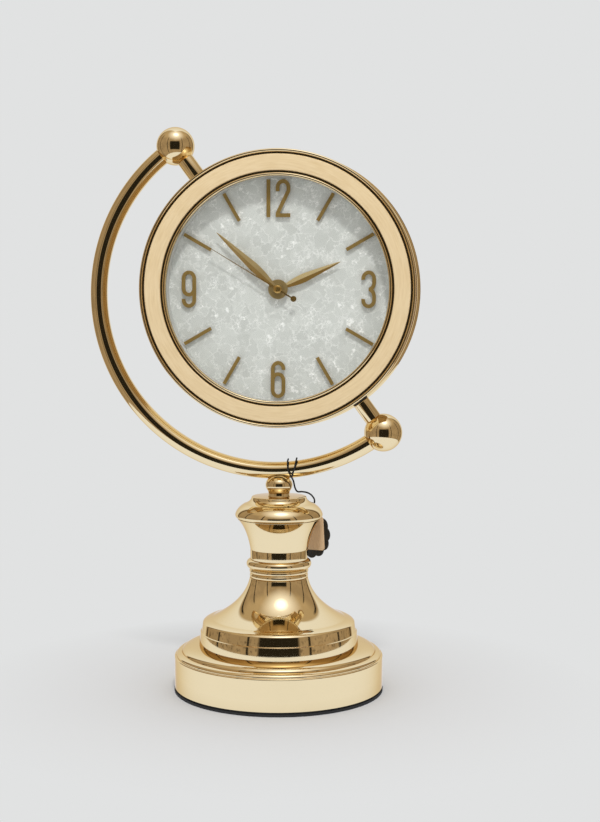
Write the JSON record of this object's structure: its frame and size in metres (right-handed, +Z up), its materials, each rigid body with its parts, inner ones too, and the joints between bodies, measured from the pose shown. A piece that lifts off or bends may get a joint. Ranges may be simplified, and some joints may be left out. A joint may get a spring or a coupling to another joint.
{
  "type": "table clock",
  "caption": "Polished gold table clock: a round drum clock head swivels on a tilted axis in a half-ring tube arm on a turned column with a stepped round base.",
  "frame": {"origin": "centre of the round base on the surface that it stands on", "axes": "+Z up, the dial faces -Y, +X to the viewer's right"},
  "size_m": [0.1972, 0.1256, 0.3358],
  "materials": {
    "polished_gold": "polished and lacquered pale gold plate",
    "brushed_gold": "brushed champagne gold",
    "antique_gold": "satin darker gold",
    "black_foam": "matt black foam pad",
    "black_steel": "black painted sheet steel",
    "cast_iron": "raw casting",
    "zinc_steel": "bright zinc plate",
    "clear_glass": "flat clear mineral glass",
    "white_plastic": "matt white moulding",
    "pearl": "pearl chip composite",
    "dial_aluminium": "mill finish sheet",
    "black_plastic": "matt black moulding",
    "grey_plastic": "matt grey moulding",
    "wheel_plastic": "natural acetal",
    "wheel_brass": "machined brass",
    "rubber": "black rubber",
    "copper_wire": "enamelled copper winding",
    "iron_plate": "soft iron sheet",
    "board_green": "solder-masked board",
    "cell_wrap": "plain wrapped cell",
    "magnet": "sintered magnet",
    "black_string": "thin waxed string",
    "black_card": "matt black card"
  },
  "bodies": {
    "stand": {"base_pad": "black_foam", "base_plate": "black_steel", "base_weight": "cast_iron", "base_shell": "polished_gold", "tier_shell": "polished_gold", "waist_ring": "polished_gold", "column_cup": "polished_gold", "column_cap": "polished_gold", "neck_bead": "polished_gold", "tie_rod": "zinc_steel", "tie_rod_washer": "zinc_steel", "tie_rod_nut": "zinc_steel", "arm": "polished_gold", "arm_stud": "zinc_steel", "arm_nut": "zinc_steel", "upper_ball": "polished_gold", "lower_ball": "polished_gold", "upper_pin": "polished_gold", "lower_pin": "polished_gold", "pivot_screws": "zinc_steel", "pivot_washers": "rubber", "tag_string": "black_string", "tag_card": "black_card"},
    "head": {"case_shell": "polished_gold", "bezel_rim": "polished_gold", "bezel_face": "brushed_gold", "lens": "clear_glass", "rehaut_ring": "white_plastic", "dial": "pearl", "dial_plate": "dial_aluminium", "hour_markers": "antique_gold", "numeral_12": "antique_gold", "numeral_3": "antique_gold", "numeral_6": "antique_gold", "numeral_9": "antique_gold", "back_cover": "brushed_gold", "cover_screws": "zinc_steel", "movement_front": "black_plastic", "movement_rear": "black_plastic", "train_plate": "grey_plastic", "bush_nut": "wheel_brass", "bush_washer": "zinc_steel", "rubber_washer": "rubber", "coil": "copper_wire", "stator": "iron_plate", "circuit_board": "board_green", "battery_contacts": "zinc_steel"},
    "minute_group": {"cannon_pinion": "wheel_brass", "minute_hand": "polished_gold"},
    "hour_group": {"hour_wheel": "wheel_plastic", "hour_hand": "polished_gold"},
    "second_group": {"seconds_wheel": "wheel_plastic", "second_hand": "polished_gold"},
    "motion_wheel": {"motion_wheel": "wheel_plastic"},
    "set_knob": {"set_knob": "grey_plastic"},
    "centre_wheel": {"centre_wheel": "wheel_brass"},
    "third_wheel": {"third_wheel": "wheel_plastic"},
    "intermediate_wheel": {"intermediate_wheel": "wheel_plastic"},
    "rotor": {"rotor": "magnet"},
    "battery": {"battery": "cell_wrap"}
  },
  "joints": [
    {"name": "head_swivel", "type": "hinge", "parent": "stand", "child": "head", "pos_m": [0, 0, 0.24], "axis": [-0.592, 0, 0.8059], "continuous": true},
    {"name": "minute_spin", "type": "hinge", "parent": "head", "child": "minute_group", "pos_m": [0, 0, 0.24], "axis": [0, 1, 0], "continuous": true},
    {"name": "hour_spin", "type": "hinge", "parent": "head", "child": "hour_group", "pos_m": [0, 0, 0.24], "axis": [0, 1, 0], "continuous": true},
    {"name": "motion_spin", "type": "hinge", "parent": "head", "child": "motion_wheel", "pos_m": [-0.00815, 0, 0.24815], "axis": [0, 1, 0], "continuous": true},
    {"name": "knob_spin", "type": "hinge", "parent": "head", "child": "set_knob", "pos_m": [-0.01391, 0, 0.25812], "axis": [0, 1, 0], "continuous": true},
    {"name": "second_spin", "type": "hinge", "parent": "head", "child": "second_group", "pos_m": [0, 0, 0.24], "axis": [0, 1, 0], "continuous": true},
    {"name": "third_spin", "type": "hinge", "parent": "head", "child": "third_wheel", "pos_m": [0.01044, 0, 0.24147], "axis": [0, 1, 0], "continuous": true},
    {"name": "centre_spin", "type": "hinge", "parent": "head", "child": "centre_wheel", "pos_m": [0, 0, 0.24], "axis": [0, 1, 0], "continuous": true},
    {"name": "intermediate_spin", "type": "hinge", "parent": "head", "child": "intermediate_wheel", "pos_m": [-0.00304, 0, 0.24653], "axis": [0, 1, 0], "continuous": true},
    {"name": "rotor_spin", "type": "hinge", "parent": "head", "child": "rotor", "pos_m": [-0.00141, 0, 0.25261], "axis": [0, 1, 0], "continuous": true},
    {"name": "battery_slide", "type": "slide", "parent": "head", "child": "battery", "axis": [0, 1, 0], "range_m": [0, 0.02]}
  ],
  "couplings": [
    {"joint": "hour_spin", "follows": "minute_spin", "ratio": 0.083333},
    {"joint": "motion_spin", "follows": "minute_spin", "ratio": -0.33333},
    {"joint": "knob_spin", "follows": "minute_spin", "ratio": 1},
    {"joint": "third_spin", "follows": "second_spin", "ratio": -0.13333},
    {"joint": "centre_spin", "follows": "second_spin", "ratio": 0.016667},
    {"joint": "intermediate_spin", "follows": "second_spin", "ratio": -5},
    {"joint": "rotor_spin", "follows": "second_spin", "ratio": 30}
  ]
}
